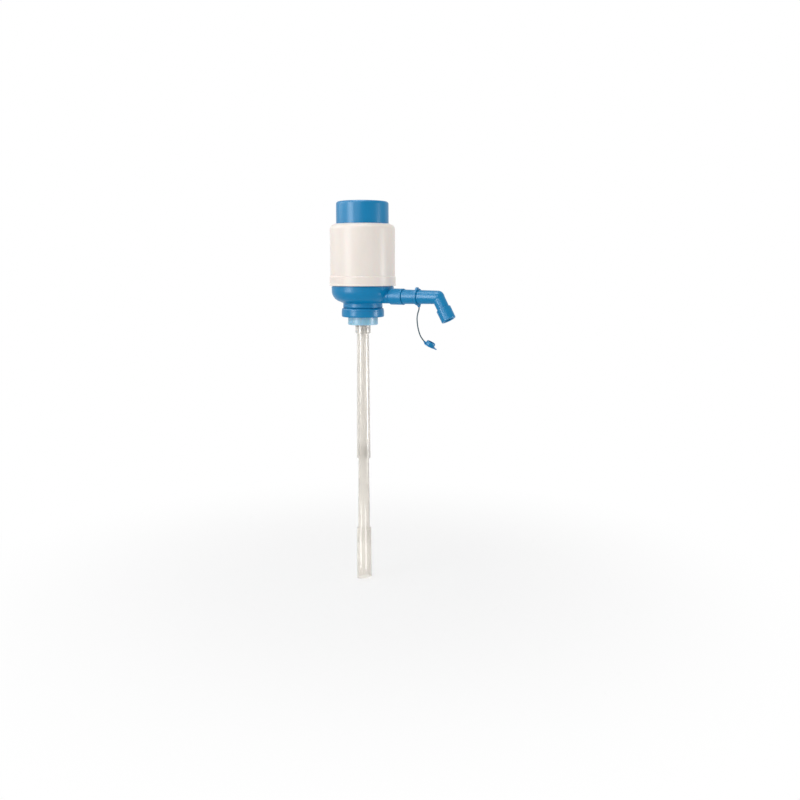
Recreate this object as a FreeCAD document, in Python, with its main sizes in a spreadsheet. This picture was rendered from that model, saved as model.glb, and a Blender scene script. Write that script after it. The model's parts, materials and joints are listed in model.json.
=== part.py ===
import FreeCAD, Part
import math
import os

import Sketcher

# Bellows hand pump for a drinking-water bottle.
# Frame: origin where the pump's axis meets the rim of the bottle, +Z up, the spout along +X.
# All sizes are millimetres and degrees.

DIMENSIONS = {
    # Housing
    "housing_radius": 38.4,
    "housing_foot_radius": 39.15,
    "housing_bead_radius": 39.5,
    "housing_bead_height": 1.8,
    "housing_wall": 2.0,
    "housing_foot_bore": 35.9,
    "housing_base": 30.4,
    "housing_top": 102.9,
    "housing_step": 42.0,
    "step_slope": 1.2,
    "shoulder_drop": 2.0,
    "shoulder_radius": 6.0,
    "mouth_edge_radius": 0.8,
    "guide_tip_radius": 34.4,
    "guide_width": 2.2,
    "guide_base": 44.0,
    "guide_top": 98.5,
    "guide_count": 3,
    # Press button
    "button_radius": 31.0,
    "button_top": 129.2,
    "button_wall": 2.0,
    "button_edge_radius": 3.0,
    "button_gap": 0.5,
    "crown_flat_radius": 19.0,
    "crown_curve": 60.0,
    "crown_drop": 0.9,
    "crown_wall": 2.5,
    "skirt_radius": 35.6,
    "skirt_wall": 1.7,
    "skirt_base": 80.0,
    "skirt_top": 100.0,
    "skirt_edge_radius": 2.3,
    "slot_width": 3.2,
    "button_rib_root": 11.0,
    "button_rib_width": 1.6,
    "button_rib_count": 6,
    # Bowl and neck
    "bowl_rim_radius": 37.05,
    "bowl_draft": 0.4,
    "bowl_corner_height": 15.5,
    "bowl_corner_radius": 13.5,
    "bowl_wall": 2.2,
    "bowl_spigot_radius": 35.8,
    "bowl_spigot_top": 38.0,
    "parting_depth": 0.8,
    "parting_height": 1.0,
    "ledge_radius": 31.6,
    "ledge_top": 29.9,
    "neck_radius": 23.3,
    "neck_wall": 2.3,
    "neck_top": 10.0,
    "collar_groove_radius": 21.3,
    "collar_groove_top": 4.7,
    "collar_groove_base": 2.9,
    "neck_bore": 18.5,
    "snap_height": 4.6,
    "snap_depth": 0.4,
    # Seal carrier
    "carrier_flange_radius": 22.5,
    "carrier_spigot_top": 8.0,
    "core_radius": 16.1,
    "core_bore": 14.0,
    "core_depth": 14.8,
    "hub_radius": 9.2,
    "hub_base": -4.0,
    "spoke_width": 1.6,
    "spoke_count": 4,
    # Water elbow
    "riser_radius": 7.4,
    "riser_bore": 5.4,
    "arm_radius": 6.6,
    "arm_reach": 31.0,
    # Screw collar and seal
    "seal_thickness": 1.4,
    "collar_radius": 25.3,
    "collar_band_top": 0.8,
    "collar_top": 4.5,
    "collar_shoulder": 2.4,
    "collar_foot_radius": 1.7,
    "collar_depth": 6.5,
    "collar_bore": 23.0,
    "collar_lip_radius": 21.7,
    "collar_lip_base": 3.05,
    "seal_radius": 17.9,
    "seal_flange_radius": 22.0,
    "seal_depth": 15.7,
    # Spout
    "spout_height": 18.2,
    "boss_radius": 8.2,
    "boss_inner_end": 22.0,
    "boss_band_radius": 9.45,
    "boss_band_start": 40.0,
    "boss_band_slope": 1.4,
    "boss_reach": 56.4,
    "boss_bore": 7.1,
    "socket_start": 38.4,
    "bead_groove_start": 40.6,
    "bead_groove_width": 2.6,
    "bead_groove_depth": 0.5,
    "spout_fit": 0.05,
    "pipe_radius": 8.45,
    "pipe_tip_radius": 7.65,
    "pipe_start": 56.8,
    "pipe_bore": 5.2,
    "shank_bead_start": 41.4,
    "shank_bead_width": 1.3,
    "shank_bead_height": 0.25,
    "elbow_reach": 101.0,
    "leg_angle": 61.0,
    "leg_root_radius": 7.4,
    "leg_radius": 7.1,
    "nozzle_reach": 29.2,
    "nozzle_length": 14.7,
    "nozzle_radius": 8.65,
    "outlet_radius": 5.6,
    "outlet_depth": 6.2,
    "mouth_radius": 6.9,
    "mouth_bevel": 0.9,
    "ring_groove_reach": 48.0,
    "ring_section": 1.04,
    # Tether and plug
    "tether_reach": 75.0,
    "tether_bore": 8.4,
    "tether_radius": 9.7,
    "tether_width": 2.4,
    "tether_lean": 15.0,
    "lug_root": 5.2,
    "lug_tip": 4.2,
    "lug_height": 1.6,
    "gusset_root": 11.2,
    "gusset_tip": 2.2,
    "gusset_reach": 11.33,
    "strap_diameter": 1.5,
    "plug_reach": 14.3,
    "plug_height": -37.1,
    "plug_turn": 15.0,
    "plug_tilt": 27.0,
    "plug_flange_radius": 6.9,
    "plug_flange_thickness": 1.3,
    "plug_cup_radius": 5.5,
    "plug_cup_wall": 1.2,
    "plug_cup_height": 4.0,
    "plug_cup_taper": 1.2,
    "tab_reach": 2.4,
    "tab_thickness": 0.9,
    "strap_root_radius": 1.15,
    "strap_root_length": 2.6,
    # Dip tube
    "connector_top": -5.5,
    "connector_base": -26.0,
    "connector_radius": 9.3,
    "tube_socket_radius": 7.15,
    "tube_top": -17.1,
    "upper_tube_top_radius": 7.0,
    "upper_tube_top_bore": 5.7,
    "upper_tube_radius": 8.35,
    "upper_tube_bore": 6.6,
    "upper_tube_base": -178.0,
    "middle_tube_lap": 14.0,
    "middle_tube_top_radius": 6.4,
    "middle_tube_top_bore": 5.2,
    "middle_tube_neck_radius": 6.55,
    "middle_tube_radius": 7.42,
    "middle_tube_bore": 6.15,
    "middle_tube_base": -280.0,
    "lower_tube_top": -266.3,
    "lower_tube_radius": 8.95,
    "lower_tube_socket_bore": 7.5,
    "lower_tube_bore": 7.6,
    "lower_tube_stop_bore": 6.4,
    "lower_tube_stop_length": 4.0,
    "lower_tube_base": -330.5,
    "tube_end_slope": 10.0,
    # Bellows and its fixings
    "plate_radius": 33.5,
    "plate_base": 31.1,
    "plate_top": 33.6,
    "spring_seat_height": 2.4,
    "spring_seat_wall": 1.4,
    "clamp_bore": 28.6,
    "clamp_height": 3.2,
    "clamp_notch_width": 4.0,
    "clamp_notch_depth": 1.6,
    "clamp_notch_count": 4,
    "bellows_radius": 27.5,
    "bellows_valley_radius": 21.5,
    "bellows_wall": 1.1,
    "bellows_fold_count": 9,
    "bellows_fold_start": 36.4,
    "bellows_fold_end": 118.6,
    "bellows_top": 124.1,
    "bellows_skin": 0.9,
    "spring_radius": 15.5,
    "spring_wire": 1.4,
    "spring_turns": 8.0,
    # Valves
    "valve_collar_radius": 10.0,
    "valve_body_radius": 7.1,
    "valve_bore": 5.6,
    "valve_port": 3.6,
    "valve_collar_height": 1.0,
    "valve_seat_inset": 0.8,
    "valve_floor": 1.2,
    "valve_window_inner": 1.9,
    "valve_window_outer": 4.9,
    "valve_window_width": 2.4,
    "valve_window_count": 4,
    "valve_disc_radius": 5.0,
    "valve_disc_thickness": 1.0,
    "valve_lift": 1.2,
}

# Points of the strap from ring to plug: along the spout from the ring, aside, and height.
STRAP_ROUTE = [
    (0.0, 2.95, 7.2),
    (-0.2, 3.5, 4.4),
    (-1.1, 1.7, -0.4),
    (-1.2, 0.1, -5.8),
    (-0.7, -0.2, -11.4),
    (0.2, 0.0, -17.4),
    (1.6, 0.4, -23.1),
    (3.8, 1.05, -28.6),
    (7.3, 1.96, -32.7),
]

doc = FreeCAD.newDocument("WaterJugHandPump")


# ---------------------------------------------------------------- sheet of driving sizes


def make_sheet():
    sheet = doc.addObject("Spreadsheet::Sheet", "Dimensions")
    for row, (name, value) in enumerate(DIMENSIONS.items(), start=1):
        sheet.set(f"A{row}", name.replace("_", " "))
        sheet.set(f"B{row}", str(value))
        sheet.setAlias(f"B{row}", name)
    doc.recompute()
    return sheet


class Size:
    """A size with its value and the sheet expression that drives it."""

    def __init__(self, value, text):
        self.value = value
        self.text = text

    def __add__(self, other):
        other = size(other)
        return Size(self.value + other.value, f"({self.text} + {other.text})")

    def __sub__(self, other):
        other = size(other)
        return Size(self.value - other.value, f"({self.text} - {other.text})")

    def __mul__(self, other):
        other = size(other)
        return Size(self.value * other.value, f"({self.text} * {other.text})")

    def __truediv__(self, other):
        other = size(other)
        return Size(self.value / other.value, f"({self.text} / {other.text})")

    def __neg__(self):
        return Size(-self.value, f"(0 - {self.text})")

    __radd__ = __add__
    __rmul__ = __mul__


def size(number):
    if isinstance(number, Size):
        return number
    return Size(float(number), f"({float(number)})")


def cosine(angle):
    return Size(math.cos(math.radians(angle.value)), f"cos({angle.text} * 1 deg)")


def sine(angle):
    return Size(math.sin(math.radians(angle.value)), f"sin({angle.text} * 1 deg)")


class Sheet:
    """Gives each driving size by its name."""

    def __init__(self, sheet):
        self.sheet = sheet

    def __getattr__(self, name):
        return Size(float(self.sheet.get(name)), f"Dimensions.{name}")


dim = Sheet(make_sheet())


# ---------------------------------------------------------------- sketch and feature helpers


def new_body(name):
    body = doc.addObject("PartDesign::Body", name)
    body.Label = name
    return body


def plane_of(body, role):
    return [item for item in body.Origin.OriginFeatures if item.Role == role][0]


def attach(body, name, role, offset, turn=0):
    """An empty sketch on one of the body's origin planes, shifted and turned in it."""
    sketch = body.newObject("Sketcher::SketchObject", name)
    sketch.AttachmentSupport = (plane_of(body, role), [""])
    sketch.MapMode = "FlatFace"
    for axis, shift in zip("xyz", offset):
        sketch.setExpression(f"AttachmentOffset.Base.{axis}", size(shift).text)
    if turn:
        start = FreeCAD.Rotation(FreeCAD.Vector(0, 0, 1), 1)
        sketch.AttachmentOffset = FreeCAD.Placement(FreeCAD.Vector(), start)
        sketch.setExpression("AttachmentOffset.Rotation.Angle", size(turn).text)
    return sketch


def corner_arc(before, corner, after, radius):
    """Tangent points, centre and sense of the arc that rounds one corner."""
    here = FreeCAD.Vector(*corner)
    back = (FreeCAD.Vector(*before) - here).normalize()
    ahead = (FreeCAD.Vector(*after) - here).normalize()
    half = back.getAngle(ahead) / 2
    run = radius / math.tan(half)
    centre = here + (back + ahead).normalize() * (radius / math.sin(half))
    left_turn = back.cross(ahead).z < 0
    return here + back * run, here + ahead * run, centre, left_turn


def place_point(sketch, geometry, vertex, corner):
    """Fix one vertex at a corner whose two coordinates come from the sheet."""
    for kind, coordinate in zip(("DistanceX", "DistanceY"), corner[:2]):
        coordinate = size(coordinate)
        index = sketch.addConstraint(
            Sketcher.Constraint(kind, -1, 1, geometry, vertex, coordinate.value)
        )
        sketch.setExpression(f"Constraints[{index}]", coordinate.text)


def outline(body, name, role, corners, offset=(0, 0, 0), turn=0):
    """A closed outline of straight edges; a corner's third value rounds it."""
    sketch = attach(body, name, role, offset, turn)
    flat = [(size(c[0]).value, size(c[1]).value, 0.0) for c in corners]
    radii = [size(c[2]) if len(c) > 2 else None for c in corners]
    count = len(corners)
    arcs = {}
    for i in range(count):
        if radii[i]:
            arcs[i] = corner_arc(flat[i - 1], flat[i], flat[(i + 1) % count], radii[i].value)
    lines = []
    for i in range(count):
        after = (i + 1) % count
        start = arcs[i][1] if i in arcs else FreeCAD.Vector(*flat[i])
        end = arcs[after][0] if after in arcs else FreeCAD.Vector(*flat[after])
        lines.append(sketch.addGeometry(Part.LineSegment(start, end), False))
    for i in range(count):
        incoming, outgoing = lines[i - 1], lines[i]
        if i not in arcs:
            sketch.addConstraint(Sketcher.Constraint("Coincident", incoming, 2, outgoing, 1))
            place_point(sketch, outgoing, 1, corners[i])
            continue
        first, last, centre, left_turn = arcs[i]
        circle = Part.Circle(centre, FreeCAD.Vector(0, 0, 1), radii[i].value)
        angles = [math.atan2(p.y - centre.y, p.x - centre.x) for p in (first, last)]
        if not left_turn:
            angles.reverse()
        arc = sketch.addGeometry(Part.ArcOfCircle(circle, angles[0], angles[1]), False)
        entry, leave = (1, 2) if left_turn else (2, 1)
        corner = sketch.addGeometry(Part.Point(FreeCAD.Vector(*flat[i])), True)
        sketch.addConstraint(Sketcher.Constraint("Tangent", incoming, 2, arc, entry))
        sketch.addConstraint(Sketcher.Constraint("Tangent", arc, leave, outgoing, 1))
        sketch.addConstraint(Sketcher.Constraint("PointOnObject", corner, 1, incoming))
        sketch.addConstraint(Sketcher.Constraint("PointOnObject", corner, 1, outgoing))
        place_point(sketch, corner, 1, corners[i])
        index = sketch.addConstraint(Sketcher.Constraint("Radius", arc, radii[i].value))
        sketch.setExpression(f"Constraints[{index}]", radii[i].text)
    return sketch


def circle_sketch(body, name, role, radius, offset=(0, 0, 0)):
    """One circle about the sketch's origin."""
    sketch = attach(body, name, role, offset)
    circle = Part.Circle(FreeCAD.Vector(0, 0, 0), FreeCAD.Vector(0, 0, 1), radius.value)
    index = sketch.addGeometry(circle, False)
    sketch.addConstraint(Sketcher.Constraint("Coincident", index, 3, -1, 1))
    bound = sketch.addConstraint(Sketcher.Constraint("Radius", index, radius.value))
    sketch.setExpression(f"Constraints[{bound}]", radius.text)
    return sketch


def turned(body, name, sketch, kind="Revolution", axis="V_Axis"):
    """Turn an outline about an axis of its sketch; kind Groove cuts it away."""
    feature = body.newObject(f"PartDesign::{kind}", name)
    feature.Profile = sketch
    feature.ReferenceAxis = (sketch, [axis])
    feature.Angle = 360
    return feature


def raised(body, name, sketch, length, middle=False):
    pad = body.newObject("PartDesign::Pad", name)
    pad.Profile = sketch
    pad.setExpression("Length", size(length).text)
    pad.Midplane = middle
    return pad


def cut_out(body, name, sketch, length, reverse=False, middle=False):
    """A pocket; it is an error if it takes nothing away."""
    doc.recompute()
    before = body.Shape.Volume
    pocket = body.newObject("PartDesign::Pocket", name)
    pocket.Profile = sketch
    pocket.setExpression("Length", size(length).text)
    pocket.Reversed = reverse
    pocket.Midplane = middle
    doc.recompute()
    if body.Shape.Volume > before - 0.1:
        raise RuntimeError(f"{name} cuts nothing from {body.Label}")
    return pocket


def repeated(body, name, feature, count):
    """The feature in equal steps about the body's Z axis."""
    pattern = body.newObject("PartDesign::PolarPattern", name)
    pattern.Originals = [feature]
    pattern.Axis = (plane_of(body, "Z_Axis"), [""])
    pattern.Angle = 360
    pattern.setExpression("Occurrences", size(count).text)
    body.Tip = pattern
    return pattern


def box_outline(left, right, low, high):
    return [(left, low), (right, low), (right, high), (left, high)]


# ---------------------------------------------------------------- head: housing and button


def make_housing():
    """White cylinder with a stepped foot, three guide ribs inside and an inward lip on top."""
    body = new_body("housing")
    bore = dim.housing_radius - dim.housing_wall
    mouth = dim.button_radius + dim.button_gap
    foot = dim.housing_base
    snap = foot + dim.snap_height
    foot_bore = dim.housing_foot_bore
    groove = foot_bore + dim.snap_depth
    bead_top = foot + dim.housing_bead_height
    ceiling = dim.housing_top - dim.housing_wall
    profile = outline(body, "housing_profile", "XZ_Plane", [
        (foot_bore, foot),
        (dim.housing_bead_radius, foot, 0.5),
        (dim.housing_bead_radius, bead_top, 0.5),
        (dim.housing_foot_radius, bead_top + 0.6),
        (dim.housing_foot_radius, dim.housing_step - dim.step_slope),
        (dim.housing_radius, dim.housing_step),
        (dim.housing_radius, dim.housing_top - dim.shoulder_drop, dim.shoulder_radius),
        (mouth, dim.housing_top, dim.mouth_edge_radius),
        (mouth, ceiling),
        (bore, ceiling - dim.shoulder_drop * 0.7, dim.shoulder_radius - dim.housing_wall),
        (bore, dim.bowl_spigot_top + 2.0),
        (foot_bore, dim.bowl_spigot_top + 1.0),
        (foot_bore, snap + 1.0),
        (groove, snap + 1.0 - dim.snap_depth),
        (groove, snap - dim.snap_depth),
        (foot_bore, snap - 2 * dim.snap_depth),
    ])
    turned(body, "housing_shell", profile)
    guide = outline(body, "guide_outline", "XY_Plane", box_outline(
        dim.guide_tip_radius, bore + 0.5, -dim.guide_width / 2, dim.guide_width / 2,
    ), offset=(0, 0, dim.guide_base))
    rib = raised(body, "guide_rib", guide, dim.guide_top - dim.guide_base)
    repeated(body, "guide_ribs", rib, dim.guide_count)
    return body


def make_button():
    """Hollow button with a wider guided skirt that stops under the housing's lip."""
    body = new_body("press_button")
    crown = dim.button_top
    ceiling = crown - dim.crown_wall
    inner = dim.button_radius - dim.button_wall
    skirt_inner = dim.skirt_radius - dim.skirt_wall
    profile = outline(body, "button_profile", "XZ_Plane", [
        (0, crown),
        (dim.crown_flat_radius, crown, dim.crown_curve),
        (dim.button_radius - 0.1, crown - dim.crown_drop, dim.button_edge_radius),
        (dim.button_radius, dim.skirt_top, 0.4),
        (dim.skirt_radius, dim.skirt_top, dim.skirt_edge_radius),
        (dim.skirt_radius, dim.skirt_base),
        (skirt_inner, dim.skirt_base),
        (skirt_inner, dim.skirt_top - dim.button_wall, 0.6),
        (inner, dim.skirt_top - dim.button_wall, 0.5),
        (inner, ceiling, 2.0),
        (0, ceiling),
    ])
    turned(body, "button_shell", profile)
    web = outline(body, "button_rib_outline", "XZ_Plane", box_outline(
        dim.button_rib_root, inner + 0.5, dim.bellows_top + 0.1, ceiling + 0.5,
    ))
    rib = raised(body, "button_rib", web, dim.button_rib_width, middle=True)
    repeated(body, "button_ribs", rib, dim.button_rib_count)
    slot = outline(body, "guide_slot_outline", "XY_Plane", box_outline(
        skirt_inner - 0.4, dim.skirt_radius + 1, -dim.slot_width / 2, dim.slot_width / 2,
    ), offset=(0, 0, dim.skirt_base - 1))
    cut = cut_out(body, "guide_slot", slot, dim.skirt_top - dim.skirt_base + 2, reverse=True)
    repeated(body, "guide_slots", cut, dim.guide_count)
    return body


# ---------------------------------------------------------------- bowl, carrier, collar and seal


def make_base():
    """Bowl with its neck and the boss that the spout turns in."""
    body = new_body("base_body")
    rim = dim.bowl_rim_radius
    spigot = dim.bowl_spigot_radius
    foot = dim.housing_base
    snap = foot + dim.snap_height
    bead = spigot + dim.snap_depth
    parting = foot - dim.parting_height
    inner = rim - dim.bowl_wall - dim.bowl_draft
    shell = outline(body, "bowl_profile", "XZ_Plane", [
        (spigot, dim.bowl_spigot_top, 0.5),
        (spigot, snap + 0.6),
        (bead, snap + 0.1),
        (bead, snap - 0.3),
        (spigot, snap - 2 * dim.snap_depth),
        (spigot, foot),
        (rim - dim.parting_depth, foot),
        (rim - dim.parting_depth, parting),
        (rim, parting, 0.3),
        (rim - dim.bowl_draft, dim.bowl_corner_height, dim.bowl_corner_radius),
        (dim.neck_radius, dim.neck_top, 1.2),
        (dim.neck_radius + 0.3, dim.collar_groove_top, 0.8),
        (dim.collar_groove_radius, dim.collar_groove_top),
        (dim.collar_groove_radius, dim.collar_groove_base),
        (dim.neck_bore, dim.collar_groove_base),
        (dim.neck_bore, dim.neck_top - 2.0),
        (dim.neck_radius - dim.neck_wall, dim.neck_top + 1.5, 1.0),
        (inner, dim.bowl_corner_height + 1.5, dim.bowl_corner_radius - dim.bowl_wall),
        (inner, dim.ledge_top - 4.0),
        (dim.ledge_radius, dim.ledge_top - 1.7),
        (dim.ledge_radius, dim.ledge_top),
        (dim.plate_radius + 0.3, dim.ledge_top),
        (dim.plate_radius + 0.3, dim.bowl_spigot_top),
    ])
    turned(body, "bowl_shell", shell)
    boss = outline(body, "boss_profile", "XZ_Plane", [
        (dim.boss_inner_end, 0),
        (dim.boss_reach, 0),
        (dim.boss_reach, dim.boss_band_radius, 0.5),
        (dim.boss_band_start, dim.boss_band_radius, 0.6),
        (dim.boss_band_start - dim.boss_band_slope, dim.boss_radius, 0.6),
        (dim.boss_inner_end, dim.boss_radius),
    ], offset=(0, dim.spout_height, 0))
    turned(body, "spout_boss", boss, axis="H_Axis")
    arm_seat = dim.arm_radius + dim.spout_fit
    arm_stop = dim.arm_reach + 0.1
    socket = dim.socket_start
    groove = dim.bead_groove_start
    groove_end = groove + dim.bead_groove_width
    groove_radius = dim.boss_bore + dim.bead_groove_depth
    channel = outline(body, "boss_bore_profile", "XZ_Plane", [
        (dim.boss_inner_end - 6, 0),
        (dim.boss_inner_end - 6, arm_seat),
        (arm_stop, arm_seat),
        (arm_stop, dim.riser_bore),
        (socket, dim.riser_bore),
        (socket, dim.boss_bore),
        (groove, dim.boss_bore),
        (groove + 0.6, groove_radius),
        (groove_end - 0.6, groove_radius),
        (groove_end, dim.boss_bore),
        (dim.boss_reach - 0.6, dim.boss_bore),
        (dim.boss_reach, dim.boss_bore + 0.6),
        (dim.boss_reach + 1, dim.boss_bore + 0.6),
        (dim.boss_reach + 1, 0),
    ], offset=(0, dim.spout_height, 0))
    turned(body, "boss_bore", channel, kind="Groove", axis="H_Axis")
    return body


def make_carrier():
    """Flanged core pressed up into the neck: it keeps the collar on and carries the seal."""
    body = new_body("seal_carrier")
    bottom = -dim.core_depth
    flange_top = dim.collar_groove_base
    profile = outline(body, "carrier_profile", "XZ_Plane", [
        (dim.core_bore, bottom),
        (dim.core_radius, bottom),
        (dim.core_radius, dim.seal_thickness),
        (dim.carrier_flange_radius, dim.seal_thickness),
        (dim.carrier_flange_radius, flange_top),
        (dim.neck_bore - 0.05, flange_top),
        (dim.neck_bore - 0.05, dim.carrier_spigot_top, 0.4),
        (dim.core_radius + 0.3, dim.carrier_spigot_top, 0.4),
        (dim.core_radius + 0.3, flange_top),
        (dim.core_bore, flange_top),
    ])
    turned(body, "carrier_shell", profile)
    hub_bore = dim.riser_radius + 0.05
    hub = outline(body, "hub_profile", "XZ_Plane", [
        (hub_bore, dim.hub_base),
        (dim.hub_radius, dim.hub_base, 0.3),
        (dim.hub_radius, flange_top, 0.3),
        (hub_bore, flange_top),
    ])
    spoke = outline(body, "spoke_outline", "XZ_Plane", box_outline(
        hub_bore + 0.8, dim.core_bore + 0.6, dim.hub_base + 0.8, flange_top - 0.8,
    ))
    arm = raised(body, "spoke", spoke, dim.spoke_width, middle=True)
    repeated(body, "spokes", arm, dim.spoke_count)
    turned(body, "hub_ring", hub)
    return body


def make_elbow():
    """Riser that carries water up to the arm, which slides into the boss from inside."""
    body = new_body("water_elbow")
    bottom = -dim.core_depth
    post_top = dim.spout_height + dim.riser_radius
    post = outline(body, "riser_profile", "XZ_Plane", [
        (0, bottom),
        (dim.riser_radius, bottom),
        (dim.riser_radius, post_top, 5.0),
        (0, post_top),
    ])
    turned(body, "riser_post", post)
    arm = outline(body, "arm_profile", "XZ_Plane", box_outline(
        0, dim.arm_reach, 0, dim.arm_radius,
    ), offset=(0, dim.spout_height, 0))
    turned(body, "arm_run", arm, axis="H_Axis")
    bore_top = dim.spout_height + dim.riser_bore
    bore = outline(body, "riser_bore_profile", "XZ_Plane", [
        (0, bottom - 1),
        (dim.riser_bore, bottom - 1),
        (dim.riser_bore, bore_top, 5.0),
        (0, bore_top),
    ])
    turned(body, "riser_bore", bore, kind="Groove")
    channel = outline(body, "arm_bore_profile", "XZ_Plane", box_outline(
        0, dim.arm_reach + 1, 0, dim.riser_bore,
    ), offset=(0, dim.spout_height, 0))
    turned(body, "arm_bore", channel, kind="Groove", axis="H_Axis")
    return body


def make_collar():
    """Screw ring held up by an inward lip that turns between the neck and the carrier."""
    body = new_body("screw_collar")
    profile = outline(body, "collar_profile", "XZ_Plane", [
        (dim.collar_bore, -dim.collar_depth),
        (dim.collar_radius, -dim.collar_depth, dim.collar_foot_radius),
        (dim.collar_radius, dim.collar_band_top),
        (dim.collar_radius - 0.3, dim.collar_band_top + 0.3),
        (dim.collar_radius - 0.3, dim.collar_top, dim.collar_shoulder),
        (dim.collar_lip_radius, dim.collar_top),
        (dim.collar_lip_radius, dim.collar_lip_base),
        (dim.collar_bore, dim.collar_lip_base),
    ])
    turned(body, "collar_ring", profile)
    return body


def make_seal():
    """Soft plug that lines the bottle's mouth, with a flange that lies on the rim."""
    body = new_body("bottle_seal")
    inner = dim.core_radius + 0.05
    core_end = dim.core_depth + 0.05
    profile = outline(body, "seal_profile", "XZ_Plane", [
        (dim.seal_radius, 0),
        (dim.seal_flange_radius, 0),
        (dim.seal_flange_radius, dim.seal_thickness),
        (inner, dim.seal_thickness),
        (inner, -core_end),
        (dim.core_bore + 0.6, -core_end),
        (dim.core_bore + 0.6, -dim.seal_depth),
        (dim.seal_radius - 0.6, -dim.seal_depth),
        (dim.seal_radius, -dim.seal_depth + 0.6),
    ])
    turned(body, "seal_ring", profile)
    return body


# ---------------------------------------------------------------- spout


def place_on_spout(body, reach, height):
    body.setExpression("Placement.Base.x", reach.text)
    body.setExpression("Placement.Base.z", height.text)


def make_spout():
    """Pipe that turns in the boss: a fitted shank, a tapered run, a ball elbow and a leg."""
    body = new_body("spout_tube")
    shank = dim.boss_bore - dim.spout_fit
    tip = dim.socket_start + 0.4
    bead = dim.shank_bead_start
    bead_end = bead + dim.shank_bead_width
    bead_radius = shank + dim.shank_bead_height
    groove = dim.ring_groove_reach
    half_groove = dim.ring_section / 2 + 0.1
    floor = shank - dim.ring_section - 0.04
    profile = outline(body, "pipe_profile", "XZ_Plane", [
        (tip, 0),
        (tip, shank - 0.5),
        (tip + 0.6, shank),
        (bead, shank),
        (bead + 0.4, bead_radius),
        (bead_end - 0.4, bead_radius),
        (bead_end, shank),
        (groove - half_groove, shank),
        (groove - half_groove, floor),
        (groove + half_groove, floor),
        (groove + half_groove, shank),
        (dim.pipe_start, shank),
        (dim.pipe_start, dim.pipe_radius, 0.4),
        (dim.elbow_reach, dim.pipe_tip_radius),
        (dim.elbow_reach, 0),
    ], offset=(0, dim.spout_height, 0))
    turned(body, "pipe_run", profile, axis="H_Axis")
    add_ball(body, "elbow_ball", "AdditiveSphere", dim.pipe_tip_radius)
    leg_end = dim.nozzle_reach - dim.outlet_depth
    leg = leg_outline(body, "leg_profile", [
        (0, 0),
        (dim.leg_root_radius, 0),
        (dim.leg_radius, leg_end),
        (0, leg_end),
    ])
    turned(body, "leg_run", leg)
    bore = outline(body, "pipe_bore_profile", "XZ_Plane", [
        (tip - 1, 0),
        (tip - 1, dim.pipe_bore),
        (dim.elbow_reach, dim.pipe_bore),
        (dim.elbow_reach, 0),
    ], offset=(0, dim.spout_height, 0))
    turned(body, "pipe_bore", bore, kind="Groove", axis="H_Axis")
    add_ball(body, "elbow_hollow", "SubtractiveSphere", dim.pipe_bore)
    leg_bore = leg_outline(body, "leg_bore_profile", [
        (0, 0),
        (dim.pipe_bore, 0),
        (dim.pipe_bore, leg_end + 1),
        (0, leg_end + 1),
    ])
    turned(body, "leg_bore", leg_bore, kind="Groove")
    return body


def add_ball(body, name, kind, radius):
    """A sphere at the elbow's centre, added or taken away."""
    ball = body.newObject(f"PartDesign::{kind}", name)
    ball.setExpression("Radius", radius.text)
    ball.AttachmentSupport = (plane_of(body, "XY_Plane"), [""])
    ball.MapMode = "FlatFace"
    ball.setExpression("AttachmentOffset.Base.x", dim.elbow_reach.text)
    ball.setExpression("AttachmentOffset.Base.z", dim.spout_height.text)
    return ball


def leg_outline(body, name, corners):
    """An outline on the spout's plane whose V axis points down the slanted leg."""
    elbow = (dim.elbow_reach, dim.spout_height, 0)
    return outline(body, name, "XZ_Plane", corners, offset=elbow, turn=-dim.leg_angle - 90)


def make_nozzle():
    """Sleeve pushed over the end of the leg; its mouth is the outlet."""
    body = new_body("nozzle_sleeve")
    seat = dim.leg_radius + dim.spout_fit
    mouth = dim.nozzle_length
    shoulder = mouth - dim.outlet_depth + dim.spout_fit
    profile = outline(body, "nozzle_profile", "XZ_Plane", [
        (seat + 0.15, 0),
        (dim.nozzle_radius, 0, 0.4),
        (dim.nozzle_radius - 0.1, mouth, 0.5),
        (dim.mouth_radius, mouth),
        (dim.outlet_radius, mouth - dim.mouth_bevel),
        (dim.outlet_radius, shoulder),
        (seat, shoulder),
    ])
    turned(body, "nozzle_ring", profile)
    start = dim.nozzle_reach - dim.nozzle_length
    body.Placement.Rotation = FreeCAD.Rotation(FreeCAD.Vector(0, 1, 0), 1)
    body.setExpression("Placement.Rotation.Angle", (dim.leg_angle + 90).text)
    place_on_spout(
        body,
        dim.elbow_reach + start * cosine(dim.leg_angle),
        dim.spout_height - start * sine(dim.leg_angle),
    )
    return body


def make_o_ring():
    """Rubber ring in the shank's groove."""
    ring = doc.addObject("Part::Torus", "spout_o_ring")
    ring.Label = "spout_o_ring"
    centre = dim.boss_bore - dim.spout_fit - dim.ring_section / 2 - 0.02
    ring.setExpression("Radius1", centre.text)
    ring.setExpression("Radius2", (dim.ring_section / 2).text)
    ring.Placement.Rotation = FreeCAD.Rotation(FreeCAD.Vector(0, 1, 0), 90)
    place_on_spout(ring, dim.ring_groove_reach, dim.spout_height)
    return ring


# ---------------------------------------------------------------- tether and plug


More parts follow.
